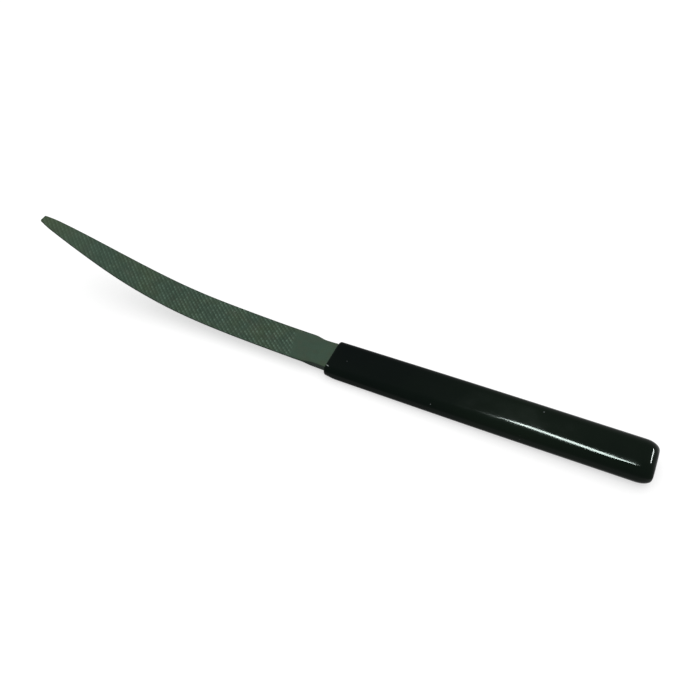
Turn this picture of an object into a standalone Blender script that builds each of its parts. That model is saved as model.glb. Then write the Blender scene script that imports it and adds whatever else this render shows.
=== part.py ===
"""Bent half-round riffler file with a moulded vinyl handle.

Two pieces, as on the real tool. The steel blank is one forging: a half-round blade bent upward to
its tip, cut with crossing rows of teeth, a plain shank, and a tang. The vinyl handle is moulded over
the tang. The handle lies flat on its underside, the tip points along -X and the flat face looks up.
"""

import math

import bmesh
import bpy
import numpy as np
from mathutils import Vector

MM = 0.001

# Blade, measured along its bent flat face from the handle's neck to the tip
BLADE_LENGTH = 112.7 * MM
BLADE_WIDTH = 12.2 * MM
BLADE_THICKNESS = 3.6 * MM
TIP_WIDTH = 2.6 * MM
TIP_THICKNESS = 1.15 * MM
TIP_CORNER = 0.35 * MM
EDGE_THICKNESS = 0.6 * MM
BEND_ANGLE = math.radians(21.4)

# How the width falls from the heel to the tip: share of the length, share of the fall
WIDTH_FALL_SHARES = ((0.0, 0.0), (0.15, 0.013), (0.35, 0.024), (0.55, 0.092), (0.7, 0.221),
                     (0.82, 0.425), (0.92, 0.663), (0.97, 0.827), (1.0, 1.0))
# How the bend builds up: share of the length, share of the whole bend
BEND_SHARES = ((0.0, 0.0), (0.2, 0.13), (0.4, 0.28), (0.6, 0.715), (0.8, 1.02), (1.0, 1.0))
# How the body thins from the heel to the tip: share of the length, share of the fall
THINNING_SHARES = ((0.0, 0.0), (0.4, 0.12), (0.75, 0.5), (1.0, 1.0))
OUTLINE_STEP = 4.0 * MM
SPINE_STEPS = 400

# Plain shank between the teeth and the handle, waisted and deeper at its edges than the blade
SHANK_WIDTH = 11.0 * MM
WAIST_WIDTH = 10.7 * MM
SHANK_THICKNESS = 2.9 * MM
SHANK_EDGE = 2.1 * MM
WAIST_DISTANCE = 4.45 * MM
SHANK_SHOULDER = 4.35 * MM
SHANK_STEP = 1.9 * MM
SHANK_STRIPS = 6
SHOULDER_STEPS = 4

# Teeth: two crossing sets of grooves leave rows of leaning points
HEEL_DISTANCE = 13.7 * MM
HEEL_ANGLE = math.radians(74.0)
OVERCUT_PITCH = 1.2 * MM
OVERCUT_ANGLE = math.radians(38.0)
UPCUT_PITCH = 1.05 * MM
UPCUT_ANGLE = math.radians(-80.0)
TOOTH_DEPTH = 0.3 * MM
TOOTH_LEAN_SHARE = 0.25
EDGE_TOOTH_SHARE = 0.25
SMALL_CELL_SHARE = 0.3
GROOVE_SNAP = 0.04 * MM
LEAST_CROWN = 0.05 * MM

# Tang inside the handle
TANG_LENGTH = 84.0 * MM
TANG_WIDTH = 7.0 * MM
TANG_END_WIDTH = 4.5 * MM
TANG_NECK = 7.0 * MM
TANG_SHOULDER = 9.0 * MM
TANG_STATION_SHARES = (0.0, 0.25, 0.5, 0.75, 1.0)
TANG_BARS = 4

# Handle, which takes its neck from the shank that it covers
SOCKET_CLEARANCE = 0.25 * MM
SIDE_WALL = 1.3 * MM
FACE_WALL = 0.4 * MM
BELLY_WALL = 0.7 * MM
BUTT_WALL = 20.65 * MM
HANDLE_WIDTH = 14.65 * MM
HANDLE_WIDEST_SHARE = 0.5
BUTT_WIDTH = 14.4 * MM
BUTT_THICKNESS = 8.0 * MM
NECK_CORNER = 1.7 * MM
BUTT_CORNER = 3.7 * MM
LIP_LENGTH = 0.75 * MM
LIP_SIDE_ROUND = 0.6 * MM
LIP_FACE_ROUND = 0.2 * MM
LIP_LOWER_CORNER = 2.7 * MM
LIP_SWEEP = 4.2 * MM
BUTT_ROUND_LENGTH = 5.0 * MM
BUTT_SIDE_ROUND = 1.9 * MM
BUTT_FACE_ROUND = 3.0 * MM
LEAST_CORNER = 0.15 * MM
LIP_STEPS = 3
SWEEP_STEPS = 3
BUTT_STEPS = 7
CORNER_STEPS = 7
HANDLE_STATIONS = 8
OVERRUN = 1.0 * MM
SHARP_ANGLE = math.radians(40.0)

HANDLE_LENGTH = TANG_LENGTH + SOCKET_CLEARANCE + BUTT_WALL
NECK_WIDTH = SHANK_WIDTH + 2 * (SOCKET_CLEARANCE + SIDE_WALL)
NECK_THICKNESS = SHANK_THICKNESS + 2 * SOCKET_CLEARANCE + FACE_WALL + BELLY_WALL

# The underside lies flat, so the tang climbs through the handle by half of what the handle thickens
DRAFT_ANGLE = math.atan2((BUTT_THICKNESS - NECK_THICKNESS) / 2, HANDLE_LENGTH)
FLAT_FACE_HEIGHT = NECK_THICKNESS - FACE_WALL - SOCKET_CLEARANCE


def through(points, at):
    """Smooth curve through (place, value) points, read at one place or many."""
    places, values = np.array(points).T
    slopes = np.diff(values) / np.diff(places)
    tangents = np.concatenate([slopes[:1], (slopes[1:] + slopes[:-1]) / 2, slopes[-1:]])
    at = np.clip(at, places[0], places[-1])
    i = np.clip(np.searchsorted(places, at, side="right") - 1, 0, len(places) - 2)
    span = places[i + 1] - places[i]
    t = (at - places[i]) / span
    start = (1 + 2 * t) * (1 - t) ** 2 * values[i] + t * (1 - t) ** 2 * span * tangents[i]
    end = t * t * (3 - 2 * t) * values[i + 1] - t * t * (1 - t) * span * tangents[i + 1]
    return start + end


def ease(a, b, t):
    """Value that runs smoothly from a to b while t runs from 0 to 1."""
    t = min(max(t, 0.0), 1.0)
    return a + (b - a) * t * t * (3 - 2 * t)


class Spine:
    """Bent centre line of the blank's flat face, by distance from the neck towards the tip."""

    def __init__(self):
        self.distance = np.linspace(0.0, BLADE_LENGTH, SPINE_STEPS)
        share = self.distance / BLADE_LENGTH
        self.angle = BEND_ANGLE * through(BEND_SHARES, share) - DRAFT_ANGLE
        step = np.diff(self.distance)
        forward = (np.cos(self.angle[1:]) + np.cos(self.angle[:-1])) / 2
        upward = (np.sin(self.angle[1:]) + np.sin(self.angle[:-1])) / 2
        self.x = -np.concatenate([[0.0], np.cumsum(forward * step)])
        self.z = np.concatenate([[0.0], np.cumsum(upward * step)])

    def place(self, distance, across, height):
        """World point of a place given along the blade, across it and above its flat face."""
        angle = np.interp(distance, self.distance, self.angle)
        beyond = min(distance, 0.0) + max(distance - BLADE_LENGTH, 0.0)
        x = np.interp(distance, self.distance, self.x) - beyond * math.cos(angle)
        z = np.interp(distance, self.distance, self.z) + beyond * math.sin(angle)
        z += FLAT_FACE_HEIGHT
        return Vector((x + height * math.sin(angle), across, z + height * math.cos(angle)))


def blank_width(distance):
    """Width of the blank: tang, shoulder, waisted shank, shoulder, then the taper to the tip."""
    if distance < 0.0:
        bar_end = TANG_LENGTH - TANG_NECK - TANG_SHOULDER
        along = min(max((-distance - TANG_NECK - TANG_SHOULDER) / bar_end, 0.0), 1.0)
        bar = TANG_WIDTH + (TANG_END_WIDTH - TANG_WIDTH) * along
        return ease(SHANK_WIDTH, bar, (-distance - TANG_NECK) / TANG_SHOULDER)
    fall = through(WIDTH_FALL_SHARES, distance / BLADE_LENGTH)
    full = BLADE_WIDTH - (BLADE_WIDTH - TIP_WIDTH) * fall
    waist = ease(SHANK_WIDTH, WAIST_WIDTH, distance / WAIST_DISTANCE)
    return ease(waist, full, (distance - WAIST_DISTANCE) / SHANK_SHOULDER)


def tang_stations():
    """Distances of the tang's sections, from its end to the neck."""
    stations = [-TANG_NECK - TANG_SHOULDER * share for share in TANG_STATION_SHARES]
    start = stations[-1]
    stations += [start - (TANG_LENGTH + start) * k / TANG_BARS for k in range(1, TANG_BARS + 1)]
    return sorted(stations)


def blade_stations():
    """Distances of the outline's points from the neck to the tip's corner."""
    end = BLADE_LENGTH - TIP_CORNER
    start = WAIST_DISTANCE + SHANK_SHOULDER
    steps = max(2, round((end - start) / OUTLINE_STEP))
    shank = [0.0, WAIST_DISTANCE / 2]
    shank += [WAIST_DISTANCE + SHANK_SHOULDER * k / SHOULDER_STEPS for k in range(SHOULDER_STEPS)]
    return shank + [start + (end - start) * k / steps for k in range(steps + 1)]


def plan_face(bm, side):
    """One flat face from a side outline and its mirror image."""
    loop = [(d, y) for d, y in side] + [(d, -y) for d, y in reversed(side)]
    verts = [bm.verts.new((d, y, 0.0)) for d, y in loop]
    edges = [bm.edges.new((verts[i - 1], verts[i])) for i in range(len(verts))]
    return bmesh.ops.contextual_create(bm, geom=edges)["faces"][0]


def cut(bm, faces, point, direction):
    """Cut these flat faces along a line in plan."""
    geom = set(faces)
    for face in faces:
        geom.update(face.edges)
        geom.update(face.verts)
    normal = Vector((-direction.y, direction.x, 0.0))
    bmesh.ops.bisect_plane(bm, geom=list(geom), dist=GROOVE_SNAP, plane_co=point, plane_no=normal)


def cut_rows(bm, zone, pitch, angle):
    """Cut the toothed zone with one set of parallel grooves at this pitch and angle."""
    direction = Vector((math.cos(angle), math.sin(angle), 0.0))
    across = Vector((-direction.y, direction.x, 0.0))
    heel = Vector((HEEL_DISTANCE, 0.0, 0.0))
    reach = [across.dot(v.co - heel) for f in toothed(bm, zone) for v in f.verts]
    for k in range(math.ceil(min(reach) / pitch), math.floor(max(reach) / pitch) + 1):
        cut(bm, toothed(bm, zone), heel + across * (pitch * k), direction)


def toothed(bm, zone):
    """The faces of the toothed zone."""
    return [face for face in bm.faces if face[zone]]


def cut_strips(bm, zone):
    """Cut the plain tang and shank into strips and stations, so that their underside can round."""
    offsets = [SHANK_WIDTH * k / SHANK_STRIPS - SHANK_WIDTH / 2 for k in range(1, SHANK_STRIPS)]
    shank_steps = math.ceil(HEEL_DISTANCE / SHANK_STEP) + 1
    stations = tang_stations() + [SHANK_STEP * k for k in range(shank_steps + 1)]
    for offset in offsets:
        cut(bm, [f for f in bm.faces if not f[zone]], Vector((0, offset, 0)), Vector((1, 0, 0)))
    for station in stations:
        cut(bm, [f for f in bm.faces if not f[zone]], Vector((station, 0, 0)), Vector((0, 1, 0)))


def body_depth(distance, across):
    """Depth of the blank's rounded underside below its flat face."""
    thinning = through(THINNING_SHARES, distance / BLADE_LENGTH)
    full = BLADE_THICKNESS - (BLADE_THICKNESS - TIP_THICKNESS) * thinning
    edge = ease(SHANK_EDGE, EDGE_THICKNESS, (distance - WAIST_DISTANCE) / SHANK_SHOULDER)
    body_forming = (distance - WAIST_DISTANCE) / (HEEL_DISTANCE - WAIST_DISTANCE)
    crown = max(ease(SHANK_THICKNESS, full, body_forming) - edge, LEAST_CROWN)
    half = blank_width(distance) / 2
    radius = (half ** 2 + crown ** 2) / (2 * crown)
    inside = radius ** 2 - min(abs(across), half) ** 2
    return edge + max(math.sqrt(inside) - (radius - crown), 0.0)


def raise_teeth(bm, faces, full_area):
    """Poke each groove cell into a leaning point and return the points."""
    points = []
    for face in faces:
        share = face.calc_area() / full_area
        if share < SMALL_CELL_SHARE:
            continue
        centre = face.calc_center_median()
        reach = max(v.co.x for v in face.verts) - centre.x
        made = bmesh.ops.poke(bm, faces=[face])["verts"][0]
        made.co.x = centre.x + reach * TOOTH_LEAN_SHARE
        points.append(made)
    return points


def steel_blank_mesh():
    """Blank: plan outline, crossing grooves, thickness below, raised teeth, then the bend."""
    bm = bmesh.new()
    zone = bm.faces.layers.int.new("toothed")
    groove = bm.verts.layers.float.new("groove")
    side = [(d, blank_width(d) / 2) for d in tang_stations() + blade_stations()]
    side.append((BLADE_LENGTH, TIP_WIDTH / 2 - TIP_CORNER))
    plan_face(bm, side)

    heel_line = Vector((math.cos(HEEL_ANGLE), math.sin(HEEL_ANGLE), 0.0))
    cut(bm, bm.faces[:], Vector((HEEL_DISTANCE, 0.0, 0.0)), heel_line)
    for face in bm.faces:
        face[zone] = int(face.calc_center_median().x > HEEL_DISTANCE)
    cut_rows(bm, zone, OVERCUT_PITCH, OVERCUT_ANGLE)
    cut_rows(bm, zone, UPCUT_PITCH, UPCUT_ANGLE)
    cut_strips(bm, zone)

    edge_depth = min(TOOTH_DEPTH, EDGE_THICKNESS * EDGE_TOOTH_SHARE)
    for vert in bm.verts:
        if all(face[zone] for face in vert.link_faces):
            vert[groove] = edge_depth if vert.is_boundary else TOOTH_DEPTH
    rim = [edge for edge in bm.edges if edge.is_boundary and edge.link_faces[0][zone]]
    crests = bmesh.ops.subdivide_edges(bm, edges=rim, cuts=1)["geom_inner"]
    for vert in crests:
        if isinstance(vert, bmesh.types.BMVert):
            vert[groove] = 0.0

    made = bmesh.ops.extrude_face_region(bm, geom=bm.faces[:])["geom"]
    lower = {element for element in made if isinstance(element, bmesh.types.BMVert)}
    lower_faces = {element for element in made if isinstance(element, bmesh.types.BMFace)}
    walls = {face for face in bm.faces if len({v in lower for v in face.verts}) == 2}
    upper_faces = set(bm.faces) - lower_faces - walls
    cell = OVERCUT_PITCH * UPCUT_PITCH / math.sin(OVERCUT_ANGLE - UPCUT_ANGLE)
    points = raise_teeth(bm, [f for f in upper_faces if f[zone]], cell)
    lower_points = raise_teeth(bm, [f for f in lower_faces if f[zone]], cell)
    for vert in points + lower_points:
        vert[groove] = 0.0
    lower.update(lower_points)

    spine = Spine()
    for vert in bm.verts:
        distance, across = vert.co.x, vert.co.y
        if vert in lower:
            height = vert[groove] - body_depth(distance, across)
        else:
            height = -vert[groove]
        vert.co = spine.place(distance, across, height)
    bmesh.ops.recalc_face_normals(bm, faces=bm.faces[:])
    mesh = bpy.data.meshes.new("file_blank")
    bm.to_mesh(mesh)
    bm.free()
    return mesh


def section(x, side_inset=0.0, face_inset=0.0):
    """Points of the handle's rounded section at x, drawn in by the two insets."""
    share = min(max(x / HANDLE_LENGTH, 0.0), 1.0)
    widths = ((0.0, NECK_WIDTH), (HANDLE_WIDEST_SHARE, HANDLE_WIDTH), (1.0, BUTT_WIDTH))
    width = through(widths, share)
    thickness = NECK_THICKNESS + (BUTT_THICKNESS - NECK_THICKNESS) * share
    upper = NECK_CORNER + (BUTT_CORNER - NECK_CORNER) * share
    lower = upper + ease(LIP_LOWER_CORNER - NECK_CORNER, 0.0, x / LIP_SWEEP)
    points = []
    for quarter, (side, up) in enumerate(((1, 1), (-1, 1), (-1, -1), (1, -1))):
        room = thickness / 2 if up > 0 else thickness - upper - LEAST_CORNER
        corner = min(upper if up > 0 else lower, room, width / 2 - LEAST_CORNER)
        corner = max(corner - face_inset, LEAST_CORNER)
        half_width = width / 2 - side_inset - corner
        half_height = thickness / 2 - face_inset - corner
        for k in range(CORNER_STEPS + 1):
            turn = math.pi / 2 * (quarter + k / CORNER_STEPS)
            y = side * half_width + corner * math.cos(turn)
            z = thickness / 2 + up * half_height + corner * math.sin(turn)
            points.append(Vector((x, y, z)))
    return points


def handle_sections():
    """Sections of the handle from the rounded neck lip to the rounded butt."""
    sections = []
    for k in range(LIP_STEPS + 1):
        turn = math.pi / 2 * k / LIP_STEPS
        inward = 1 - math.sin(turn)
        x = LIP_LENGTH * (1 - math.cos(turn))
        sections.append(section(x, LIP_SIDE_ROUND * inward, LIP_FACE_ROUND * inward))
    for k in range(1, SWEEP_STEPS + 1):
        sections.append(section(LIP_LENGTH + (LIP_SWEEP - LIP_LENGTH) * k / SWEEP_STEPS))
    start, end = LIP_SWEEP, HANDLE_LENGTH - BUTT_ROUND_LENGTH
    for k in range(1, HANDLE_STATIONS):
        sections.append(section(start + (end - start) * k / HANDLE_STATIONS))
    for k in range(BUTT_STEPS + 1):
        turn = math.pi / 2 * k / BUTT_STEPS
        inward = 1 - math.cos(turn)
        x = end + BUTT_ROUND_LENGTH * math.sin(turn)
        sections.append(section(x, BUTT_SIDE_ROUND * inward, BUTT_FACE_ROUND * inward))
    return sections


def handle_mesh():
    """Handle: a loft between unlike rounded sections, closed at the lip and the butt."""
    bm = bmesh.new()
    rings = [[bm.verts.new(point) for point in points] for points in handle_sections()]
    for ring, following in zip(rings, rings[1:]):
        for i in range(len(ring)):
            bm.faces.new((ring[i - 1], ring[i], following[i], following[i - 1]))
    bm.faces.new(rings[0])
    bm.faces.new(rings[-1])
    bmesh.ops.recalc_face_normals(bm, faces=bm.faces[:])
    mesh = bpy.data.meshes.new("vinyl_handle")
    bm.to_mesh(mesh)
    bm.free()
    return mesh


def socket_mesh():
    """Socket: the tang with its clearance all round, run out through the neck."""
    bm = bmesh.new()
    zone = bm.faces.layers.int.new("toothed")
    side = [(d, blank_width(d) / 2 + SOCKET_CLEARANCE) for d in tang_stations()[1:]]
    end = (-TANG_LENGTH - SOCKET_CLEARANCE, TANG_END_WIDTH / 2 + SOCKET_CLEARANCE)
    plan_face(bm, [end] + side + [(OVERRUN, SHANK_WIDTH / 2 + SOCKET_CLEARANCE)])
    cut_strips(bm, zone)
    made = bmesh.ops.extrude_face_region(bm, geom=bm.faces[:])["geom"]
    lower = {element for element in made if isinstance(element, bmesh.types.BMVert)}
    spine = Spine()
    for vert in bm.verts:
        distance, across = vert.co.x, vert.co.y
        height = SOCKET_CLEARANCE
        if vert in lower:
            half = blank_width(distance) / 2
            height = -body_depth(distance, across * half / (half + SOCKET_CLEARANCE))
            height -= SOCKET_CLEARANCE
        vert.co = spine.place(distance, across, height)
    bmesh.ops.recalc_face_normals(bm, faces=bm.faces[:])
    mesh = bpy.data.meshes.new("tang_socket")
    bm.to_mesh(mesh)
    bm.free()
    return mesh


def material(name, colour, roughness, metallic):
    """Plain finish of one piece."""
    finish = bpy.data.materials.new(name)
    finish.use_nodes = True
    shader = finish.node_tree.nodes["Principled BSDF"]
    shader.inputs["Base Color"].default_value = (*colour, 1.0)
    shader.inputs["Roughness"].default_value = roughness
    shader.inputs["Metallic"].default_value = metallic
    finish.diffuse_color = (*colour, 1.0)
    return finish


def add(name, mesh, group, parent, finish=None):
    """Put a mesh into the scene as a named piece under a parent."""
    piece = bpy.data.objects.new(name, mesh)
    group.objects.link(piece)
    piece.parent = parent
    if finish is not None:
        mesh.materials.append(finish)
    return piece


for old in list(bpy.data.objects):
    bpy.data.objects.remove(old, do_unlink=True)
pieces = bpy.data.collections.new("riffler_file")
cutters = bpy.data.collections.new("cutters")
bpy.context.scene.collection.children.link(pieces)
bpy.context.scene.collection.children.link(cutters)

steel = material("dark_hardened_steel", colour=(0.051, 0.082, 0.061), roughness=0.45, metallic=1.0)
vinyl = material("black_vinyl", colour=(0.005, 0.008, 0.006), roughness=0.18, metallic=0.0)

blank_mesh = steel_blank_mesh()
tip_x = min(vert.co.x for vert in blank_mesh.vertices)
neck = bpy.data.objects.new("neck", None)
neck.location = (-(tip_x + HANDLE_LENGTH) / 2, 0.0, 0.0)
pieces.objects.link(neck)

blank = add("file_blank", blank_mesh, pieces, neck, steel)

handle = add("vinyl_handle", handle_mesh(), pieces, neck, vinyl)
socket = add("tang_socket", socket_mesh(), cutters, neck)
socket.hide_render = True
socket.display_type = "WIRE"
hollow = handle.modifiers.new("tang_socket", "BOOLEAN")
hollow.operation = "DIFFERENCE"
hollow.solver = "EXACT"
hollow.object = socket
handle.data.shade_smooth()
handle.data.set_sharp_from_angle(angle=SHARP_ANGLE)
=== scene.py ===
"""Looks of a bent half-round riffler file with a moulded vinyl handle."""

import math

import bmesh
import bpy
import numpy as np
from mathutils import Matrix, Vector


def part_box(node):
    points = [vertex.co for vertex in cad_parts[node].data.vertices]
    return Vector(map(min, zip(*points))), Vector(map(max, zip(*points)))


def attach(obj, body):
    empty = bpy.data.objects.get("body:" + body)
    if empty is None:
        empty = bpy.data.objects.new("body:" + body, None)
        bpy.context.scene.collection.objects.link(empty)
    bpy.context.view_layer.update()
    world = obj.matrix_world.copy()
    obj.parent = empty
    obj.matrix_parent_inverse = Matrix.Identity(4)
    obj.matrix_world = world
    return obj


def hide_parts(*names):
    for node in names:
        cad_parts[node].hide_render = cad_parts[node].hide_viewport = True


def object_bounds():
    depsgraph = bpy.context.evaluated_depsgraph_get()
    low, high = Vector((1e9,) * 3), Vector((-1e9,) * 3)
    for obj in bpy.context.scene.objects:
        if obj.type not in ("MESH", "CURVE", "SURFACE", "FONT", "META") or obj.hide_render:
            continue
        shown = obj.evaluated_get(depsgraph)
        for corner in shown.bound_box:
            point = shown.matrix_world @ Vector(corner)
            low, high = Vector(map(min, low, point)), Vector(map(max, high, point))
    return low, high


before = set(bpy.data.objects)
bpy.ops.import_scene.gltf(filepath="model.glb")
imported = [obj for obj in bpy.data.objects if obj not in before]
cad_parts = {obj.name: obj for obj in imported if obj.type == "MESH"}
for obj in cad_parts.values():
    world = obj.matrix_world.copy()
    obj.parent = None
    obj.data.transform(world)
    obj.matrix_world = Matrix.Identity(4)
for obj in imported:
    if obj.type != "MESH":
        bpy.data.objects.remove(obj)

cad_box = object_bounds()


# Steel blank.
# The real blank is forged from one bar of file steel: a half-round blade bent up to its tip, a plain
# shank and a tang. Chisels cut its teeth in two crossing sets of rows, and it is hardened to a dull
# grey-green. The tang is buried in the vinyl.
MM = 0.001
blank_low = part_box("file_blank")[0]
handle_low, handle_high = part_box("vinyl_handle")
NECK_X = handle_low.x
BLADE_LENGTH = 112.7 * MM
BLADE_WIDTH = 12.35 * MM
BLADE_THICKNESS = 3.6 * MM
TIP_WIDTH = 2.7 * MM
TIP_THICKNESS = 1.15 * MM
TIP_CORNER = 0.35 * MM
EDGE_THICKNESS = 0.6 * MM
BEND_ANGLE = math.radians(21.4)
WIDTH_FALL_SHARES = ((0.0, 0.0), (0.15, 0.013), (0.35, 0.024), (0.55, 0.092), (0.7, 0.221),
                     (0.82, 0.425), (0.92, 0.663), (0.97, 0.827), (1.0, 1.0))
BEND_SHARES = ((0.0, 0.0), (0.2, 0.13), (0.4, 0.28), (0.6, 0.715), (0.8, 1.02), (1.0, 1.0))
THINNING_SHARES = ((0.0, 0.0), (0.4, 0.12), (0.75, 0.5), (1.0, 1.0))
SHANK_WIDTH = 11.1 * MM
WAIST_WIDTH = 10.8 * MM
SHANK_THICKNESS = 2.9 * MM
SHANK_EDGE = 2.1 * MM
WAIST_DISTANCE = 4.45 * MM
SHANK_SHOULDER = 4.35 * MM
TANG_LENGTH = 84.0 * MM
TANG_WIDTH = 7.0 * MM
TANG_END_WIDTH = 4.5 * MM
TANG_NECK = 7.0 * MM
TANG_SHOULDER = 9.0 * MM
FLAT_FACE_HEIGHT = 3.85 * MM
DRAFT_ANGLE = math.radians(0.956)
LEAST_CROWN = 0.05 * MM
OUTLINE_STEP = 1.0 * MM
SHANK_STEP = 1.0 * MM
SHANK_STRIPS = 12
TANG_STATIONS = 12
SHOULDER_STATIONS = 15
SPINE_STEPS = 400

HEEL_DISTANCE = 13.7 * MM
HEEL_ANGLE = math.radians(74.0)
HEEL_FADE = 1.2 * MM
OVERCUT_PITCH = 1.2 * MM
OVERCUT_ANGLE = math.radians(38.0)
OVERCUT_DEPTH = 0.19 * MM
OVERCUT_CREST_SHARE = 0.28
UPCUT_PITCH = 1.05 * MM
UPCUT_ANGLE = math.radians(-80.0)
UPCUT_DEPTH = 0.11 * MM
UPCUT_CREST_SHARE = 0.72
CUT_SNAP = 0.02 * MM
MEAN_CREST = 0.35
UNEVEN_HEIGHT = 0.05 * MM
# These set how unevenly the painted glint falls from tooth to tooth and how much painted shade lies in
# the upcut grooves. The seed also sets each tooth's uneven height.
UNEVEN_GLINT = 0.9
UPCUT_SHADE = 0.6
TOOTH_SEED = 7.0
RIM_WIDTH = 0.28 * MM
RIM_DROP = 0.12 * MM
STEEL_SHARP_ANGLE = math.radians(24.0)


def through(points, at):
    """Smooth curve through (place, value) points, read at one place or many."""
    places, values = np.array(points).T
    slopes = np.diff(values) / np.diff(places)
    tangents = np.concatenate([slopes[:1], (slopes[1:] + slopes[:-1]) / 2, slopes[-1:]])
    at = np.clip(at, places[0], places[-1])
    i = np.clip(np.searchsorted(places, at, side="right") - 1, 0, len(places) - 2)
    span = places[i + 1] - places[i]
    t = (at - places[i]) / span
    start = (1 + 2 * t) * (1 - t) ** 2 * values[i] + t * (1 - t) ** 2 * span * tangents[i]
    end = t * t * (3 - 2 * t) * values[i + 1] - t * t * (1 - t) * span * tangents[i + 1]
    return start + end


def ease(a, b, t):
    """Values that run smoothly from a to b while t runs from 0 to 1."""
    t = np.clip(t, 0.0, 1.0)
    return a + (b - a) * t * t * (3 - 2 * t)


def blank_width(distance):
    """Width of the blank by distance from the neck towards the tip; the tang is negative."""
    bar_length = TANG_LENGTH - TANG_NECK - TANG_SHOULDER
    along = np.clip((-distance - TANG_NECK - TANG_SHOULDER) / bar_length, 0.0, 1.0)
    bar = TANG_WIDTH + (TANG_END_WIDTH - TANG_WIDTH) * along
    tang = ease(SHANK_WIDTH, bar, (-distance - TANG_NECK) / TANG_SHOULDER)
    fall = through(WIDTH_FALL_SHARES, distance / BLADE_LENGTH)
    full = BLADE_WIDTH - (BLADE_WIDTH - TIP_WIDTH) * fall
    waist = ease(SHANK_WIDTH, WAIST_WIDTH, distance / WAIST_DISTANCE)
    blade = ease(waist, full, (distance - WAIST_DISTANCE) / SHANK_SHOULDER)
    return np.where(distance < 0.0, tang, blade)


def body_depth(distance, across):
    """Depth of the blank's rounded underside below its flat face."""
    thinning = through(THINNING_SHARES, distance / BLADE_LENGTH)
    full = BLADE_THICKNESS - (BLADE_THICKNESS - TIP_THICKNESS) * thinning
    edge = ease(SHANK_EDGE, EDGE_THICKNESS, (distance - WAIST_DISTANCE) / SHANK_SHOULDER)
    body_forming = (distance - WAIST_DISTANCE) / (HEEL_DISTANCE - WAIST_DISTANCE)
    crown = np.maximum(ease(SHANK_THICKNESS, full, body_forming) - edge, LEAST_CROWN)
    half = blank_width(distance) / 2
    radius = (half ** 2 + crown ** 2) / (2 * crown)
    inside = radius ** 2 - np.minimum(np.abs(across), half) ** 2
    return edge + np.maximum(np.sqrt(inside) - (radius - crown), 0.0)


def bend(distance, across, height):
    """Places along the bent blade: distance from the neck, across it and above its flat face."""
    steps = np.linspace(0.0, BLADE_LENGTH, SPINE_STEPS)
    angles = BEND_ANGLE * through(BEND_SHARES, steps / BLADE_LENGTH) - DRAFT_ANGLE
    gap = np.diff(steps)
    forward = (np.cos(angles[1:]) + np.cos(angles[:-1])) / 2
    upward = (np.sin(angles[1:]) + np.sin(angles[:-1])) / 2
    line_x = -np.concatenate([[0.0], np.cumsum(forward * gap)])
    line_z = np.concatenate([[0.0], np.cumsum(upward * gap)])
    angle = np.interp(distance, steps, angles)
    behind = np.minimum(distance, 0.0)
    x = NECK_X + np.interp(distance, steps, line_x) - behind * np.cos(angle)
    z = FLAT_FACE_HEIGHT + np.interp(distance, steps, line_z) + behind * np.sin(angle)
    return np.column_stack([x + height * np.sin(angle), across, z + height * np.cos(angle)])


def cut_along(bm, geometry, point, direction):
    """Cut this part of the flat plan along a line, and return the part with its new pieces."""
    normal = Vector((-direction.y, direction.x, 0.0))
    return bmesh.ops.bisect_plane(bm, geom=geometry, dist=CUT_SNAP, plane_co=point,
                                  plane_no=normal)["geom"]


def with_edges(faces):
    """Faces with their edges and corners, each once and always in the same order."""
    geometry = dict.fromkeys(faces)
    for face in faces:
        geometry.update(dict.fromkeys(face.edges))
        geometry.update(dict.fromkeys(face.verts))
    return list(geometry)


def cut_tooth_rows(bm, geometry, pitch, angle, shares):
    """Cut the toothed part along each row's groove and along the lines that shape its teeth."""
    direction = Vector((math.cos(angle), math.sin(angle), 0.0))
    across = Vector((-direction.y, direction.x, 0.0))
    heel = Vector((HEEL_DISTANCE, 0.0, 0.0))
    reach = [across.dot(v.co - heel) / pitch for v in geometry if isinstance(v, bmesh.types.BMVert)]
    for row in range(math.floor(min(reach)), math.ceil(max(reach))):
        for share in shares:
            geometry = cut_along(bm, geometry, heel + across * (pitch * (row + share)), direction)
    return geometry


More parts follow.
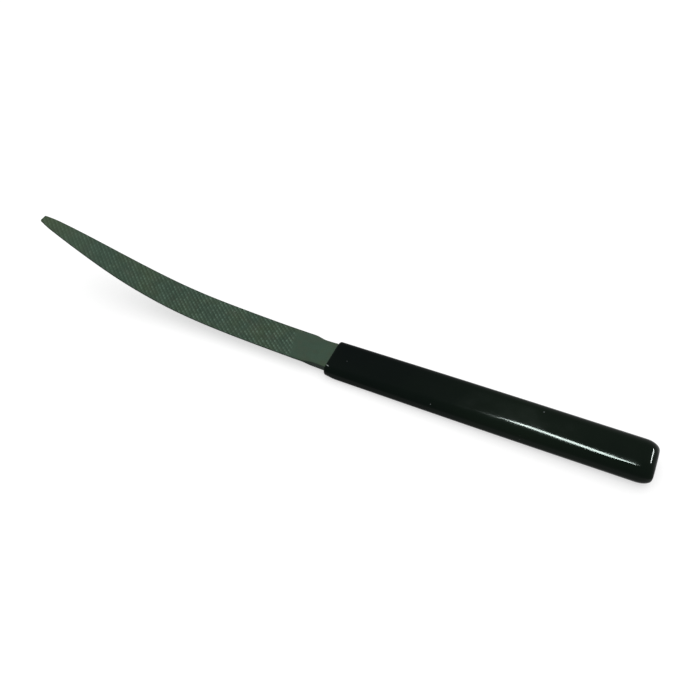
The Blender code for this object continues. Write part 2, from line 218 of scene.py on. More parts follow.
def blank_plan():
    """Plan of the blank: fine crossing cuts where it is toothed, strips and stations elsewhere."""
    distances = np.concatenate([
        np.linspace(RIM_WIDTH - TANG_LENGTH, -TANG_NECK - TANG_SHOULDER, TANG_STATIONS)[:-1],
        np.linspace(-TANG_NECK - TANG_SHOULDER, 0.0, SHOULDER_STATIONS)[:-1],
        np.arange(0.0, BLADE_LENGTH - TIP_CORNER, OUTLINE_STEP),
        [BLADE_LENGTH - TIP_CORNER],
    ])
    side = list(zip(distances, blank_width(distances) / 2 - RIM_WIDTH))
    side.append((BLADE_LENGTH - RIM_WIDTH, TIP_WIDTH / 2 - TIP_CORNER))
    loop = side + [(distance, -across) for distance, across in reversed(side)]
    bm = bmesh.new()
    verts = [bm.verts.new((distance, across, 0.0)) for distance, across in loop]
    edges = [bm.edges.new((verts[i - 1], verts[i])) for i in range(len(verts))]
    bmesh.ops.contextual_create(bm, geom=edges)

    heel = Vector((HEEL_DISTANCE, 0.0, 0.0))
    cut_along(bm, with_edges(bm.faces), heel, Vector((math.cos(HEEL_ANGLE), math.sin(HEEL_ANGLE), 0.0)))
    plain, toothed = sorted(bm.faces, key=lambda face: face.calc_center_median().x)
    geometry = cut_tooth_rows(bm, with_edges([toothed]), OVERCUT_PITCH, OVERCUT_ANGLE,
                              (0.0, OVERCUT_CREST_SHARE, (1 + OVERCUT_CREST_SHARE) / 2))
    cut_tooth_rows(bm, geometry, UPCUT_PITCH, UPCUT_ANGLE,
                   (0.0, UPCUT_CREST_SHARE / 2, UPCUT_CREST_SHARE))
    geometry = with_edges([plain])
    for k in range(1, SHANK_STRIPS):
        offset = Vector((0.0, SHANK_WIDTH * k / SHANK_STRIPS - SHANK_WIDTH / 2, 0.0))
        geometry = cut_along(bm, geometry, offset, Vector((1.0, 0.0, 0.0)))
    for station in np.arange(-TANG_NECK, HEEL_DISTANCE + SHANK_WIDTH / 2, SHANK_STEP):
        geometry = cut_along(bm, geometry, Vector((station, 0.0, 0.0)), Vector((0.0, 1.0, 0.0)))
    return bm


def add_rim(bm):
    """Widen the plan all round by a narrow rim, and return the rim's outer points."""
    bm.normal_update()
    outline = [edge for edge in bm.edges if edge.is_boundary]
    outward = {}
    for edge in outline:
        loop = edge.link_loops[0]
        along = loop.link_loop_next.vert.co - loop.vert.co
        normal = along.cross(loop.face.normal).normalized()
        for vert in edge.verts:
            outward[vert] = outward.get(vert, Vector()) + normal
    made = bmesh.ops.extrude_edge_only(bm, edges=outline)["geom"]
    rim = [element for element in made if isinstance(element, bmesh.types.BMVert)]
    for vert in rim:
        inner = next(edge.other_vert(vert) for edge in vert.link_edges
                     if edge.other_vert(vert) in outward)
        mitre = outward[inner]
        vert.co += mitre * (2 * RIM_WIDTH / mitre.length_squared)
        vert.co.z = -RIM_DROP
    return rim


def add_object(name, data):
    """Object with this mesh, lamp or camera, in the scene."""
    item = bpy.data.objects.new(name, data)
    bpy.context.scene.collection.objects.link(item)
    return item


def mesh_from(bm, name):
    """Mesh with this name that holds what was built in the bmesh."""
    mesh = bpy.data.meshes.new(name)
    bm.to_mesh(mesh)
    bm.free()
    return mesh


def apply_modifier(item, modifier):
    """Put what the modifier makes into the object's own mesh, and remove the modifier."""
    graph = bpy.context.evaluated_depsgraph_get()
    made = bpy.data.meshes.new_from_object(item.evaluated_get(graph))
    item.modifiers.remove(modifier)
    item.data = made


def flat_blank():
    """Unbent blank with its depth. Its points hold their share of the cuts (negative below) and of the
    rim, and its faces hold how far they belong to the underside."""
    bm = blank_plan()
    cut_share = bm.verts.layers.float.new("cut_share")
    rim_share = bm.verts.layers.float.new("rim_share")
    underside = bm.faces.layers.float.new("underside")
    for vert in bm.verts:
        vert[cut_share] = 1.0
    for vert in add_rim(bm):
        vert[cut_share] = 0.0
        vert[rim_share] = 1.0
    made = bmesh.ops.extrude_face_region(bm, geom=bm.faces[:])["geom"]
    lower = [element for element in made if isinstance(element, bmesh.types.BMVert)]
    depths = body_depth(np.array([v.co.x for v in lower]), np.array([v.co.y for v in lower]))
    for vert, depth in zip(lower, depths):
        vert.co.z = -vert.co.z - depth
        vert[cut_share] = -vert[cut_share]
    below = set(lower)
    for face in bm.faces:
        face[underside] = sum(vert in below for vert in face.verts) / len(face.verts)
    bmesh.ops.triangulate(bm, faces=bm.faces[:])
    bmesh.ops.recalc_face_normals(bm, faces=bm.faces[:])
    return mesh_from(bm, "steel_file_blank")


def calculate(tree, operation, *inputs):
    """Math node in this tree, fed by sockets or plain numbers."""
    node = tree.nodes.new("ShaderNodeMath")
    node.operation = operation
    for socket, value in zip(node.inputs, inputs):
        if isinstance(value, bpy.types.NodeSocket):
            tree.links.new(value, socket)
        else:
            socket.default_value = value
    return node.outputs[0]


def cut_row(tree, along, across, angle, pitch, crest):
    """Share of full depth below one set of chisel cuts, and the number of each point's row."""
    rising = calculate(tree, "MULTIPLY", across, calculate(tree, "COSINE", angle))
    falling = calculate(tree, "MULTIPLY", along, calculate(tree, "SINE", angle))
    rows = calculate(tree, "DIVIDE", calculate(tree, "SUBTRACT", rising, falling), pitch)
    place = calculate(tree, "FRACT", rows)
    before = calculate(tree, "SUBTRACT", 1.0, calculate(tree, "DIVIDE", place, crest))
    beyond = calculate(tree, "SUBTRACT", place, crest)
    behind = calculate(tree, "DIVIDE", beyond, calculate(tree, "SUBTRACT", 1.0, crest))
    return calculate(tree, "MAXIMUM", before, behind), calculate(tree, "FLOOR", rows)


def chisel_cuts_tree():
    """Geometry nodes that cut crossing rows of teeth into a flat, unbent file blank."""
    tree = bpy.data.node_groups.new("chisel_cuts", "GeometryNodeTree")
    tree.interface.new_socket("Geometry", in_out="INPUT", socket_type="NodeSocketGeometry")
    for name in ("Overcut Pitch", "Overcut Angle", "Overcut Depth", "Overcut Crest",
                 "Upcut Pitch", "Upcut Angle", "Upcut Depth", "Upcut Crest",
                 "Heel Distance", "Heel Angle", "Heel Fade", "Uneven Height", "Uneven Glint",
                 "Upcut Shade", "Seed"):
        tree.interface.new_socket(name, in_out="INPUT", socket_type="NodeSocketFloat")
    tree.interface.new_socket("Steel", in_out="INPUT", socket_type="NodeSocketMaterial")
    tree.interface.new_socket("Geometry", in_out="OUTPUT", socket_type="NodeSocketGeometry")
    start = tree.nodes.new("NodeGroupInput").outputs
    place = tree.nodes.new("ShaderNodeSeparateXYZ")
    position = tree.nodes.new("GeometryNodeInputPosition").outputs[0]
    tree.links.new(position, place.inputs[0])
    along = calculate(tree, "SUBTRACT", place.outputs[0], start["Heel Distance"])
    across = place.outputs[1]

    over, over_row = cut_row(tree, along, across, start["Overcut Angle"],
                             start["Overcut Pitch"], start["Overcut Crest"])
    up, up_row = cut_row(tree, along, across, start["Upcut Angle"],
                         start["Upcut Pitch"], start["Upcut Crest"])
    over_top = calculate(tree, "SUBTRACT", 1.0, over)
    up_top = calculate(tree, "SUBTRACT", 1.0, up)
    top = calculate(tree, "MULTIPLY", over_top, up_top)
    tooth = tree.nodes.new("ShaderNodeCombineXYZ")
    tree.links.new(over_row, tooth.inputs[0])
    tree.links.new(up_row, tooth.inputs[1])
    tree.links.new(start["Seed"], tooth.inputs[2])
    chance = tree.nodes.new("ShaderNodeTexWhiteNoise")
    chance.noise_dimensions = "3D"
    tree.links.new(tooth.outputs[0], chance.inputs["Vector"])
    uneven = calculate(tree, "MULTIPLY", chance.outputs["Value"], start["Uneven Height"])
    depth = calculate(tree, "MULTIPLY_ADD", over, start["Overcut Depth"],
                      calculate(tree, "MULTIPLY", up, start["Upcut Depth"]))
    depth = calculate(tree, "MULTIPLY_ADD", top, uneven, depth)

    heel_along = calculate(tree, "MULTIPLY", along, calculate(tree, "SINE", start["Heel Angle"]))
    heel_across = calculate(tree, "MULTIPLY", across, calculate(tree, "COSINE", start["Heel Angle"]))
    past_heel = calculate(tree, "SUBTRACT", heel_along, heel_across)
    fade = calculate(tree, "DIVIDE", past_heel, start["Heel Fade"])
    fade_in = calculate(tree, "MINIMUM", calculate(tree, "MAXIMUM", fade, 0.0), 1.0)
    share = tree.nodes.new("GeometryNodeInputNamedAttribute")
    share.data_type = "FLOAT"
    share.inputs["Name"].default_value = "cut_share"
    signed = calculate(tree, "MULTIPLY", share.outputs["Attribute"], fade_in)
    drop = calculate(tree, "MULTIPLY", depth, calculate(tree, "MULTIPLY", signed, -1.0))
    offset = tree.nodes.new("ShaderNodeCombineXYZ")
    tree.links.new(drop, offset.inputs[2])
    move = tree.nodes.new("GeometryNodeSetPosition")
    tree.links.new(start["Geometry"], move.inputs["Geometry"])
    tree.links.new(offset.outputs[0], move.inputs["Offset"])

    # This stored value marks each point's height above the groove, uneven from tooth to tooth. The
    # steel's colour uses it to paint a glint on the crests and shade in the grooves.
    kept = tree.nodes.new("GeometryNodeStoreNamedAttribute")
    kept.data_type = "FLOAT"
    kept.domain = "POINT"
    kept.inputs["Name"].default_value = "tooth_crest"
    uneven_glint = calculate(tree, "MULTIPLY_ADD", calculate(tree, "SUBTRACT", chance.outputs["Value"], 0.5),
                     start["Uneven Glint"], 1.0)
    parted = calculate(tree, "SUBTRACT", 1.0, calculate(tree, "MULTIPLY", up, start["Upcut Shade"]))
    ridge = calculate(tree, "MULTIPLY", over_top, parted)
    above_groove = calculate(tree, "MULTIPLY_ADD", ridge, uneven_glint, -MEAN_CREST)
    tree.links.new(move.outputs[0], kept.inputs["Geometry"])
    tree.links.new(calculate(tree, "MULTIPLY", above_groove, fade_in), kept.inputs["Value"])
    whole = tree.nodes.new("GeometryNodeRealizeInstances")
    tree.links.new(kept.outputs[0], whole.inputs[0])
    finish = tree.nodes.new("GeometryNodeSetMaterial")
    tree.links.new(whole.outputs[0], finish.inputs["Geometry"])
    tree.links.new(start["Steel"], finish.inputs["Material"])
    tree.links.new(finish.outputs[0], tree.nodes.new("NodeGroupOutput").inputs[0])
    return tree


def identifier(tree, name):
    """Identifier of a node tree's named input, by which a modifier sets it."""
    return next(item.identifier for item in tree.interface.items_tree
                if item.name == name and item.in_out == "INPUT")


MIX_COLOUR_SOCKETS = (0, 6, 7)
MIX_COLOUR_RESULT = 2


def blend_colours(tree, factor, first, second):
    """Mix of two colours in this tree, each given as a socket or as three numbers."""
    node = tree.nodes.new("ShaderNodeMix")
    node.data_type = "RGBA"
    for number, value in zip(MIX_COLOUR_SOCKETS, (factor, first, second)):
        socket = node.inputs[number]
        if isinstance(value, bpy.types.NodeSocket):
            tree.links.new(value, socket)
        elif isinstance(value, tuple):
            socket.default_value = (*value, 1.0)
        else:
            socket.default_value = value
    return node.outputs[MIX_COLOUR_RESULT]


def remap(tree, value, span, amounts):
    """Clamped straight-line map of a value, from a span of it to the amounts at the span's ends."""
    node = tree.nodes.new("ShaderNodeMapRange")
    tree.links.new(value, node.inputs["Value"])
    for name, number in zip(("From Min", "From Max", "To Min", "To Max"), (*span, *amounts)):
        node.inputs[name].default_value = number
    return node.outputs[0]


def object_places(tree, stretch=(1.0, 1.0, 1.0)):
    """Object coordinates in this tree, scaled for a pattern."""
    coordinates = tree.nodes.new("ShaderNodeTexCoord")
    mapping = tree.nodes.new("ShaderNodeMapping")
    mapping.inputs["Scale"].default_value = stretch
    tree.links.new(coordinates.outputs["Object"], mapping.inputs["Vector"])
    return mapping.outputs[0]


def lengthwise(tree, places):
    """X of these places, which runs from the tip to the butt."""
    parts = tree.nodes.new("ShaderNodeSeparateXYZ")
    tree.links.new(places, parts.inputs[0])
    return parts.outputs[0]


NOISE_ROUGHNESS = 0.55


def noise(tree, places, size, detail):
    """Noise value with blotches of this size in metres."""
    node = tree.nodes.new("ShaderNodeTexNoise")
    node.inputs["Scale"].default_value = 1 / size
    node.inputs["Detail"].default_value = detail
    node.inputs["Roughness"].default_value = NOISE_ROUGHNESS
    tree.links.new(places, node.inputs["Vector"])
    return node.outputs[0]


def blotches(tree, places, look):
    """Blotchy amount, from a look of four: size, detail, span of the noise, amounts at its ends."""
    size, detail, span, amounts = look
    return remap(tree, noise(tree, places, size, detail), span, amounts)


def new_finish(name, roughness, metallic, specular):
    """Material whose Principled shader waits for its links."""
    finish = bpy.data.materials.new(name)
    finish.use_nodes = True
    shader = finish.node_tree.nodes["Principled BSDF"]
    shader.inputs["Roughness"].default_value = roughness
    shader.inputs["Metallic"].default_value = metallic
    shader.inputs["Specular IOR Level"].default_value = specular
    return finish, finish.node_tree, shader


def flecks_group():
    """Shared shader group: a sparse mask of dust flecks, by their cells per metre, reach and rarity."""
    tree = bpy.data.node_groups.new("dust_flecks", "ShaderNodeTree")
    tree.interface.new_socket("Places", in_out="INPUT", socket_type="NodeSocketVector")
    for name in ("Per Metre", "Reach", "Rarity"):
        tree.interface.new_socket(name, in_out="INPUT", socket_type="NodeSocketFloat")
    tree.interface.new_socket("Fleck", in_out="OUTPUT", socket_type="NodeSocketFloat")
    start = tree.nodes.new("NodeGroupInput").outputs
    cells = tree.nodes.new("ShaderNodeTexVoronoi")
    tree.links.new(start["Places"], cells.inputs["Vector"])
    tree.links.new(start["Per Metre"], cells.inputs["Scale"])
    chance = tree.nodes.new("ShaderNodeSeparateColor")
    tree.links.new(cells.outputs["Color"], chance.inputs[0])
    near = calculate(tree, "LESS_THAN", cells.outputs["Distance"],
                     calculate(tree, "MULTIPLY", start["Reach"], chance.outputs[1]))
    rare = calculate(tree, "GREATER_THAN", chance.outputs[0], start["Rarity"])
    tree.links.new(calculate(tree, "MULTIPLY", near, rare), tree.nodes.new("NodeGroupOutput").inputs[0])
    return tree


def flecks(tree, group, places, per_metre, reach, rarity):
    """One use of the fleck group in a material."""
    node = tree.nodes.new("ShaderNodeGroup")
    node.node_tree = group
    tree.links.new(places, node.inputs["Places"])
    node.inputs["Per Metre"].default_value = per_metre
    node.inputs["Reach"].default_value = reach
    node.inputs["Rarity"].default_value = rarity
    return node.outputs[0]


def attribute(tree, name):
    """Value stored on the mesh under this name."""
    node = tree.nodes.new("ShaderNodeAttribute")
    node.attribute_name = name
    return node.outputs["Fac"]


def bump(tree, height, distance, strength, under=None):
    """Bump normal from a height value, over another normal if one is given."""
    node = tree.nodes.new("ShaderNodeBump")
    node.inputs["Distance"].default_value = distance
    node.inputs["Strength"].default_value = strength
    tree.links.new(height, node.inputs["Height"])
    if under is not None:
        tree.links.new(under, node.inputs["Normal"])
    return node.outputs[0]


STEEL_COLOUR = (0.044, 0.073, 0.052)
STEEL_OLIVE = (0.068, 0.090, 0.038)
STEEL_BROWN = (0.064, 0.067, 0.048)
# Painted shade for the tooth grooves.
STEEL_GROOVE_SHADE = (0.026, 0.046, 0.031)
STEEL_WORN = (0.080, 0.128, 0.092)
# Painted glint for the tooth crests.
STEEL_CREST_GLINT = (0.140, 0.220, 0.165)
# Painted shade for the rim, side walls and underside.
STEEL_SIDE_SHADE = (0.014, 0.022, 0.017)
STEEL_FLECK = (0.30, 0.33, 0.31)
OLIVE_PATCHES = (9 * MM, 2.0, (0.45, 0.7), (0.0, 0.35))
OLIVE_TIP_SPAN = (blank_low.x, blank_low.x + 16 * MM)
OLIVE_TIP_AMOUNT = 0.8
TARNISH = (3.5 * MM, 3.0, (0.48, 0.75), (0.0, 0.5))
GRAIN_SIZE = 0.35 * MM
GRAIN_DETAIL = 3.0
GRAIN_SPAN = (0.3, 0.7)
GRAIN_AMOUNT = 0.25
WORN_END_SPAN = (blank_low.x + 10 * MM, blank_low.x + 55 * MM)
WORN_END_AMOUNT = 0.6
WORN_END_PALENESS = 0.35
# Patches, spans and amounts of the painted glint on the tooth crests and the painted shade in their
# grooves.
CREST_GLINT_PATCHES = (2.5 * MM, 3.0, (0.38, 0.62), (0.45, 1.0))
GROOVE_SHADE_AMOUNT = 0.55
CREST_SPAN = (0.0, 0.6)
CREST_GLINT_AMOUNT = 0.58
# Span and amounts of the painted shade on the rim and the underside.
RIM_SPAN = (0.1, 0.9)
RIM_SHADE_AMOUNT = 0.7
UNDERSIDE_SHADE_AMOUNT = 0.45
STEEL_FLECKS = (420.0, 0.10, 0.9)
STEEL_ROUGHNESS = (3 * MM, 5.0, (0.3, 0.7), (0.38, 0.55))
DRAWN_STRETCH = (0.08, 1.0, 1.0)
DRAWN_SIZE = 0.18 * MM
DRAWN_DETAIL = 3.0
DRAWN_STRENGTH = 0.35
GRAIN_STRENGTH = 0.3
MARK_HEIGHT = 0.02 * MM
fleck_group = flecks_group()


def hardened_steel():
    """Dull hardened file steel: grey-green and olive in patches, with a painted glint on the crests of
    its teeth, painted shade in their grooves, and painted shade on its rim, side walls and underside.
    """
    finish, tree, shader = new_finish("hardened_file_steel", roughness=0.45, metallic=1.0, specular=0.5)
    places = object_places(tree)
    along = lengthwise(tree, places)
    olive_tip = remap(tree, along, OLIVE_TIP_SPAN, (OLIVE_TIP_AMOUNT, 0.0))
    olive = calculate(tree, "MAXIMUM", blotches(tree, places, OLIVE_PATCHES), olive_tip)
    colour = blend_colours(tree, olive, STEEL_COLOUR, STEEL_OLIVE)
    colour = blend_colours(tree, blotches(tree, places, TARNISH), colour, STEEL_BROWN)
    grain = noise(tree, places, GRAIN_SIZE, GRAIN_DETAIL)
    colour = blend_colours(tree, remap(tree, grain, GRAIN_SPAN, (0.0, GRAIN_AMOUNT)), colour, STEEL_WORN)

    worn_end = remap(tree, along, WORN_END_SPAN, (WORN_END_AMOUNT, 0.0))
    pale_end = calculate(tree, "MULTIPLY", worn_end, WORN_END_PALENESS)
    colour = blend_colours(tree, pale_end, colour, STEEL_WORN)
    # Painted glint on the tooth crests and painted shade in their grooves, both in patches and both
    # weaker towards the worn end.
    sharp = calculate(tree, "SUBTRACT", 1.0, worn_end)
    shine = calculate(tree, "MULTIPLY", blotches(tree, places, CREST_GLINT_PATCHES), sharp)
    crest = calculate(tree, "MULTIPLY", attribute(tree, "tooth_crest"), shine)
    groove = remap(tree, crest, (-MEAN_CREST, 0.0), (GROOVE_SHADE_AMOUNT, 0.0))
    colour = blend_colours(tree, groove, colour, STEEL_GROOVE_SHADE)
    colour = blend_colours(tree, remap(tree, crest, CREST_SPAN, (0.0, CREST_GLINT_AMOUNT)), colour, STEEL_CREST_GLINT)

    # Painted shade along the rim, on the side walls and, more faintly, on the underside.
    rim = remap(tree, attribute(tree, "rim_share"), RIM_SPAN, (0.0, RIM_SHADE_AMOUNT))
    colour = blend_colours(tree, rim, colour, STEEL_SIDE_SHADE)
    underside = attribute(tree, "underside")
    from_edge = calculate(tree, "ABSOLUTE", calculate(tree, "MULTIPLY_ADD", underside, 2.0, -1.0))
    side_shade = calculate(tree, "MAXIMUM", calculate(tree, "SUBTRACT", 1.0, from_edge),
                      calculate(tree, "MULTIPLY", underside, UNDERSIDE_SHADE_AMOUNT))
    colour = blend_colours(tree, side_shade, colour, STEEL_SIDE_SHADE)
    colour = blend_colours(tree, flecks(tree, fleck_group, places, *STEEL_FLECKS), colour, STEEL_FLECK)
    tree.links.new(colour, shader.inputs["Base Color"])
    tree.links.new(blotches(tree, places, STEEL_ROUGHNESS), shader.inputs["Roughness"])
    drawn = noise(tree, object_places(tree, DRAWN_STRETCH), DRAWN_SIZE, DRAWN_DETAIL)
    normal = bump(tree, drawn, MARK_HEIGHT, DRAWN_STRENGTH)
    normal = bump(tree, grain, MARK_HEIGHT, GRAIN_STRENGTH, normal)
    tree.links.new(normal, shader.inputs["Normal"])
    return finish


steel_blank = add_object("steel_file_blank", flat_blank())
cuts_tree = chisel_cuts_tree()
cuts = steel_blank.modifiers.new("chisel_cuts", "NODES")
cuts.node_group = cuts_tree
for socket_name, value in (
    ("Overcut Pitch", OVERCUT_PITCH), ("Overcut Angle", OVERCUT_ANGLE),
    ("Overcut Depth", OVERCUT_DEPTH), ("Overcut Crest", OVERCUT_CREST_SHARE),
    ("Upcut Pitch", UPCUT_PITCH), ("Upcut Angle", UPCUT_ANGLE),
    ("Upcut Depth", UPCUT_DEPTH), ("Upcut Crest", UPCUT_CREST_SHARE),
    ("Heel Distance", HEEL_DISTANCE), ("Heel Angle", HEEL_ANGLE), ("Heel Fade", HEEL_FADE),
    ("Uneven Height", UNEVEN_HEIGHT), ("Uneven Glint", UNEVEN_GLINT), ("Upcut Shade", UPCUT_SHADE),
    ("Seed", TOOTH_SEED), ("Steel", hardened_steel()),
):
    cuts[identifier(cuts_tree, socket_name)] = value
apply_modifier(steel_blank, cuts)
cut_mesh = steel_blank.data
flat_places = np.empty(len(cut_mesh.vertices) * 3, dtype=np.float32)
cut_mesh.vertices.foreach_get("co", flat_places)
flat_places = flat_places.reshape(-1, 3).astype(float)
bent_places = bend(flat_places[:, 0], flat_places[:, 1], flat_places[:, 2])
cut_mesh.vertices.foreach_set("co", bent_places.astype(np.float32).ravel())
cut_mesh.flip_normals()
cut_mesh.update()
cut_mesh.shade_smooth()
cut_mesh.set_sharp_from_angle(angle=STEEL_SHARP_ANGLE)
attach(steel_blank, "root")
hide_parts("file_blank")


# Vinyl handle.
# The real handle is glossy black vinyl moulded over the tang. Its lip hugs the shank, its upper face is
# flat between rounded edges, and it thickens towards a round butt.
HANDLE_LENGTH = handle_high.x - handle_low.x
NECK_WIDTH = 14.1 * MM
HANDLE_WIDTH = 14.65 * MM
BUTT_WIDTH = 14.4 * MM
NECK_THICKNESS = 4.5 * MM
BUTT_THICKNESS = 8.0 * MM
NECK_CORNER = 1.7 * MM
BUTT_CORNER = 3.7 * MM
LIP_LENGTH = 0.75 * MM
LIP_SIDE_ROUND = 0.6 * MM
LIP_FACE_ROUND = 0.2 * MM
LIP_LOWER_CORNER = 2.7 * MM
LIP_SWEEP = 4.2 * MM
BUTT_ROUND_LENGTH = 4.5 * MM
BUTT_SIDE_ROUND = 2.0 * MM
BUTT_UPPER_ROUND = 3.0 * MM
BUTT_LOWER_ROUND = 1.2 * MM
LEAST_CORNER = 0.15 * MM
CORNER_RISE = 0.82
CORNER_SPREAD = 1.5
HANDLE_WIDEST_SHARE = 0.5
LIP_STEPS = 8
SWEEP_STEPS = 8
BUTT_STEPS = 20
CORNER_STEPS = 16
FACE_STEPS = 8
HANDLE_STATIONS = 60
SOCKET_GAP = 0.05 * MM
SOCKET_MOUTH = 1.0 * MM
SOCKET_STRIPS = 12
VINYL_SHARP_ANGLE = math.radians(50.0)


def handle_section(x, side_inset=0.0, upper_inset=0.0, lower_inset=0.0):
    """Points of the handle's rounded section at x from the neck, drawn in by the insets."""
    share = min(max(x / HANDLE_LENGTH, 0.0), 1.0)
    widths = ((0.0, NECK_WIDTH), (HANDLE_WIDEST_SHARE, HANDLE_WIDTH), (1.0, BUTT_WIDTH))
    width = through(widths, share)
    thickness = NECK_THICKNESS + (BUTT_THICKNESS - NECK_THICKNESS) * share
    rounding = NECK_CORNER + (BUTT_CORNER - NECK_CORNER) * share
    upper = CORNER_RISE * rounding
    lower = rounding + ease(LIP_LOWER_CORNER - NECK_CORNER, 0.0, x / LIP_SWEEP)
    points = []
    for quarter, (side, up) in enumerate(((1, 1), (-1, 1), (-1, -1), (1, -1))):
        face_inset = upper_inset if up > 0 else lower_inset
        room = thickness / 2 if up > 0 else thickness - upper - LEAST_CORNER
        left = (thickness / 2 - face_inset) / (thickness / 2)
        corner = max(min(upper if up > 0 else lower, room) * left, LEAST_CORNER)
        spread = max(corner / left * (CORNER_SPREAD if up > 0 else 1.0), LEAST_CORNER)
        half_width = width / 2 - side_inset - spread
        half_height = thickness / 2 - face_inset - corner
        for k in range(CORNER_STEPS + 1):
            turn = math.pi / 2 * (quarter + k / CORNER_STEPS)
            y = side * half_width + spread * math.cos(turn)
            z = thickness / 2 + up * half_height + corner * math.sin(turn)
            points.append(Vector((NECK_X + x, y, z)))
        if quarter in (0, 2):
            for k in range(1, FACE_STEPS):
                y = side * half_width * (1 - 2 * k / FACE_STEPS)
                points.append(Vector((NECK_X + x, y, points[-1].z)))
    return points


def handle_sections():
    """Sections of the handle from its lip to its butt."""
    sections = []
    for k in range(LIP_STEPS + 1):
        turn = math.pi / 2 * k / LIP_STEPS
        inward = 1 - math.sin(turn)
        x = LIP_LENGTH * (1 - math.cos(turn))
        face_inset = LIP_FACE_ROUND * inward
        sections.append(handle_section(x, LIP_SIDE_ROUND * inward, face_inset, face_inset))
    for k in range(1, SWEEP_STEPS + 1):
        sections.append(handle_section(LIP_LENGTH + (LIP_SWEEP - LIP_LENGTH) * k / SWEEP_STEPS))
    start, end = LIP_SWEEP, HANDLE_LENGTH - BUTT_ROUND_LENGTH
    for k in range(1, HANDLE_STATIONS):
        sections.append(handle_section(start + (end - start) * k / HANDLE_STATIONS))
    for k in range(BUTT_STEPS + 1):
        turn = math.pi / 2 * k / BUTT_STEPS
        inward = 1 - math.cos(turn)
        x = end + BUTT_ROUND_LENGTH * math.sin(turn)
        insets = (inward * depth for depth in (BUTT_SIDE_ROUND, BUTT_UPPER_ROUND, BUTT_LOWER_ROUND))
        sections.append(handle_section(x, *insets))
    return sections


def loft(name, sections):
    """Closed mesh through the points of these sections, with a face at each end."""
    bm = bmesh.new()
    rings = [[bm.verts.new(point) for point in points] for points in sections]
    for ring, following in zip(rings, rings[1:]):
        for i in range(len(ring)):
            bm.faces.new((ring[i - 1], ring[i], following[i], following[i - 1]))
    for ring in (rings[0], rings[-1]):
        bm.faces.new(ring)
    bmesh.ops.recalc_face_normals(bm, faces=bm.faces[:])
    return mesh_from(bm, name)


def socket_sections():
    """Sections of the hollow for the blank's tang, a hair larger than the tang all round."""
    distances = np.concatenate([
        [-TANG_LENGTH - SOCKET_GAP],
        np.linspace(RIM_WIDTH - TANG_LENGTH, -TANG_NECK - TANG_SHOULDER, TANG_STATIONS)[1:],
        np.linspace(-TANG_NECK - TANG_SHOULDER, 0.0, SHOULDER_STATIONS)[1:],
        [SOCKET_MOUTH],
    ])
    sections = []
    for distance in distances:
        half = float(blank_width(np.array([distance]))[0]) / 2 + SOCKET_GAP
        across = np.linspace(half, -half, SOCKET_STRIPS + 1)
        lower = -body_depth(np.full(across.shape, distance), across) - SOCKET_GAP
        ring_across = np.concatenate([[-half, half], across])
        heights = np.concatenate([[SOCKET_GAP, SOCKET_GAP], lower])
        sections.append(bend(np.full(ring_across.shape, distance), ring_across, heights))
    return sections


VINYL_COLOUR = (0.0005, 0.0018, 0.0017)
# Colour of the scuffs and of the painted sheen.
VINYL_SCUFF_AND_SHEEN = (0.0034, 0.0070, 0.0038)
VINYL_GLOSS_TINT = (0.84, 1.0, 0.94)
# Painted highlight for the lip's near upper corner.
LIP_HIGHLIGHT_COLOUR = (0.42, 0.48, 0.45)
SPECK_COLOUR = (0.09, 0.10, 0.10)
# A painted highlight on the lip's near upper corner, and two pale specks.
HANDLE_MARKS = (
    ((3.4 * MM, -5.2 * MM, 4.0 * MM), -17.0, (0.85 * MM, 0.15 * MM, 0.8 * MM), LIP_HIGHLIGHT_COLOUR),
    ((8.4 * MM, -1.0 * MM, 4.6 * MM), 0.0, (0.14 * MM, 0.14 * MM, 0.5 * MM), SPECK_COLOUR),
    ((39.3 * MM, -6.7 * MM, 4.8 * MM), 0.0, (0.16 * MM, 0.16 * MM, 0.6 * MM), SPECK_COLOUR),
)
MARK_EDGE_SPAN = (0.7, 1.0)
VINYL_CLOUD = (40 * MM, 3.0, (0.35, 0.65), (0.0, 0.4))
# Painted sheen that grows along the handle towards its butt.
SHEEN_SPAN = (NECK_X + 0.25 * HANDLE_LENGTH, NECK_X + 0.6 * HANDLE_LENGTH)
SHEEN_AMOUNT = 0.6
VINYL_FLECKS = (260.0, 0.08, 0.6)
VINYL_ROUGHNESS = (6 * MM, 6.0, (0.3, 0.75), (0.06, 0.11))
PEEL_SIZE = 1.6 * MM
PEEL_DETAIL = 2.0
PEEL_HEIGHT = 0.01 * MM
PEEL_STRENGTH = 0.2


def mark(tree, places, place, turn, reach):
    """Mask of one small mark, a painted highlight or a speck: an ellipsoid about a place, turned by so
    many degrees.
    """
    share = tree.nodes.new("ShaderNodeMapping")
    share.vector_type = "TEXTURE"
    share.inputs["Location"].default_value = place
    share.inputs["Rotation"].default_value = (0.0, 0.0, math.radians(turn))
    share.inputs["Scale"].default_value = reach
    tree.links.new(places, share.inputs["Vector"])
    length = tree.nodes.new("ShaderNodeVectorMath")
    length.operation = "LENGTH"
    tree.links.new(share.outputs[0], length.inputs[0])
    return remap(tree, length.outputs["Value"], MARK_EDGE_SPAN, (1.0, 0.0))


